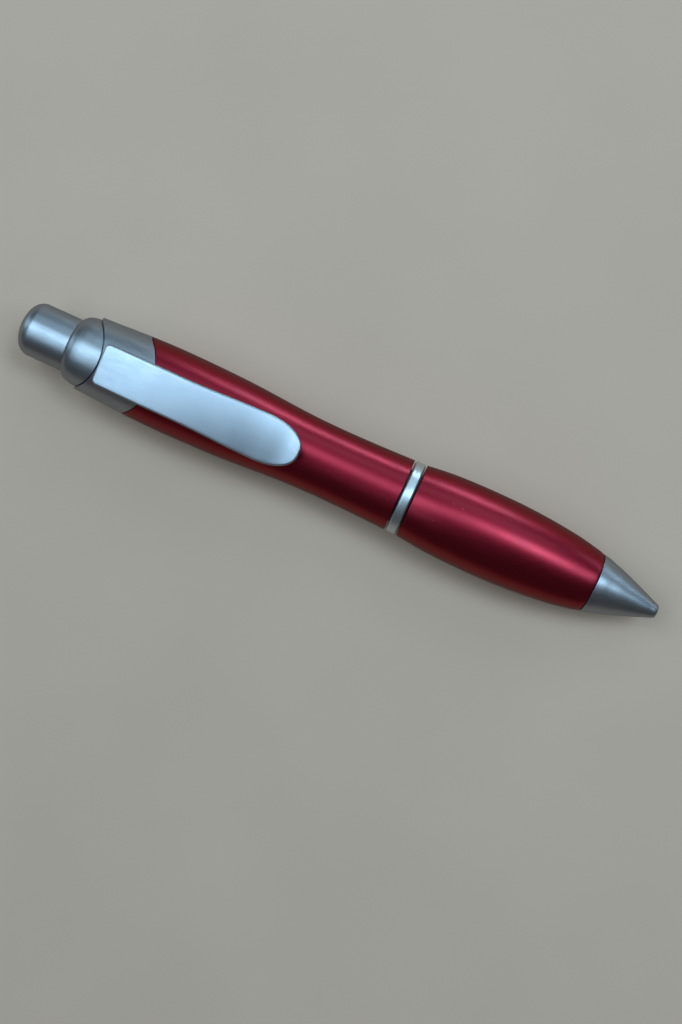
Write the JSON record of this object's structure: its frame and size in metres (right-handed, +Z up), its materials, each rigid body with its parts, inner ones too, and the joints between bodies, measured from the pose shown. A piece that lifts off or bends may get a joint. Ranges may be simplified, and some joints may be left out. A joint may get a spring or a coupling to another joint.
{
  "type": "retractable pen",
  "caption": "Wide-bodied click pen with a waisted satin barrel in two halves, a bevelled middle ring, a spoon-shaped pocket clip, a push button and a tapered nose.",
  "frame": {"origin": "on the surface the pen lies on, under the middle of its length", "axes": "+X along the pen towards its point, +Z up through the clip, +Y across"},
  "size_m": [0.15, 0.0184, 0.0204],
  "materials": {
    "satin_grey": "satin metallic grey, like paint over plastic",
    "satin_silver": "satin silver, brighter than the grey pieces",
    "burgundy_satin": "satin metallic burgundy red",
    "bright_ring": "turned, bright bevelled edges",
    "dark_plastic": "moulded, plain",
    "natural_plastic": "moulded, slightly milky",
    "grey_plastic": "moulded, plain",
    "ink": "thick liquid ink",
    "grease": "clear grease plug",
    "brass": "turned",
    "steel": "bright drawn wire and ground ball"
  },
  "bodies": {
    "body": {"upper_barrel": "burgundy_satin", "shoulder_sleeve": "satin_grey", "collar": "satin_grey", "cam_sleeve": "dark_plastic", "thread_bush": "dark_plastic"},
    "button": {"push_button": "satin_grey", "cam_plunger": "natural_plastic"},
    "cartridge": {"refill_tube": "natural_plastic", "refill_plug": "grey_plastic", "grease_follower": "grease", "ink_column": "ink", "refill_point": "brass"},
    "rotor": {"thrust_rotor": "grey_plastic"},
    "ball": {"writing_ball": "steel"},
    "ring": {"centre_ring": "bright_ring"},
    "front": {"lower_barrel": "burgundy_satin", "thread_insert": "dark_plastic", "nose_cone": "satin_grey", "return_spring": "steel"},
    "clip": {"clip": "satin_silver"}
  },
  "joints": [
    {"name": "button_slide", "type": "slide", "parent": "body", "child": "button", "axis": [1, 0, 0], "range_m": [0, 0.006], "stiffness_N_per_m": 250, "springref_m": -0.004},
    {"name": "cartridge_slide", "type": "slide", "parent": "body", "child": "cartridge", "axis": [1, 0, 0], "range_m": [0, 0.006], "deforming": ["return_spring"]},
    {"name": "rotor_turn", "type": "hinge", "parent": "cartridge", "child": "rotor", "pos_m": [-0.032, 0, 0.00922], "axis": [1, 0, 0], "range_deg": [0, 45]},
    {"name": "ball_roll", "type": "hinge", "parent": "cartridge", "child": "ball", "pos_m": [0.0718, 0, 0.00922], "axis": [0, 1, 0], "continuous": true},
    {"name": "ring_slide", "type": "slide", "parent": "body", "child": "ring", "axis": [1, 0, 0], "range_m": [0, 0.008]},
    {"name": "front_turn", "type": "hinge", "parent": "ring", "child": "front", "pos_m": [0.035, 0, 0.00922], "axis": [1, 0, 0], "range_deg": [0, 1440]},
    {"name": "clip_flex", "type": "hinge", "parent": "body", "child": "clip", "pos_m": [-0.053, 0, 0.01852], "axis": [0, -1, 0], "range_deg": [0, 4], "stiffness_Nm_per_rad": 1.5}
  ],
  "couplings": [
    {"joint": "cartridge_slide", "follows": "button_slide", "ratio": 1},
    {"joint": "rotor_turn", "follows": "button_slide", "rad_per_m": 130.8},
    {"joint": "front_turn", "follows": "ring_slide", "rad_per_m": 3141.3}
  ]
}
